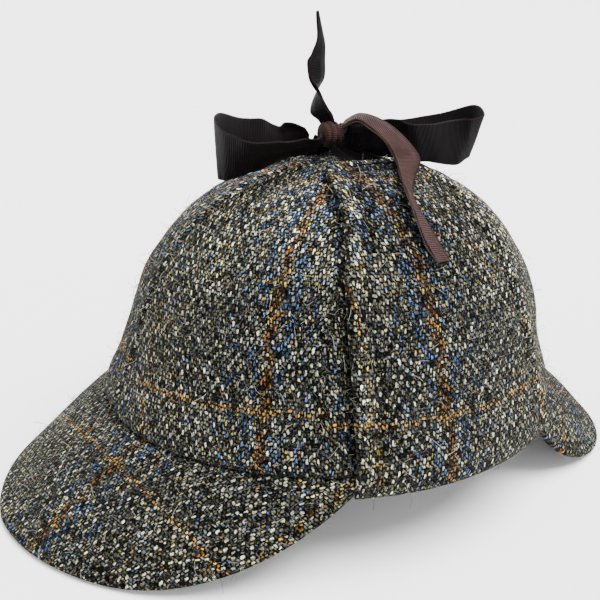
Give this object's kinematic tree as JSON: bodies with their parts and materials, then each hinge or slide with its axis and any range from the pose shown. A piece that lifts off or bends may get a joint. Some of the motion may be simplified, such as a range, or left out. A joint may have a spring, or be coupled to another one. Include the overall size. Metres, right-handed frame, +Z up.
{
  "type": "deerstalker hat",
  "caption": "Tweed deerstalker hat with front and rear peaks and ear flaps folded up over the crown, tied at the top in a ribbon bow.",
  "frame": {"origin": "middle of the hat's footprint, on the surface it rests on", "axes": "+Z up; the hat faces -Y and its wearer's left is +X"},
  "size_m": [0.1862, 0.3087, 0.2016],
  "materials": {
    "crown_tweed": "coarse twill, matt",
    "peak_tweed": "coarse twill, matt",
    "flap_tweed": "coarse twill, matt",
    "ribbon": "ribbed, slight sheen"
  },
  "bodies": {
    "root": {"crown": "crown_tweed", "front_peak": "peak_tweed", "rear_peak": "peak_tweed", "left_ear_flap": "flap_tweed", "right_ear_flap": "flap_tweed", "bow_knot": "ribbon", "front_loop": "ribbon", "rear_loop": "ribbon", "standing_tail": "ribbon", "falling_tail": "ribbon", "left_tie": "ribbon", "right_tie": "ribbon"}
  },
  "joints": []
}
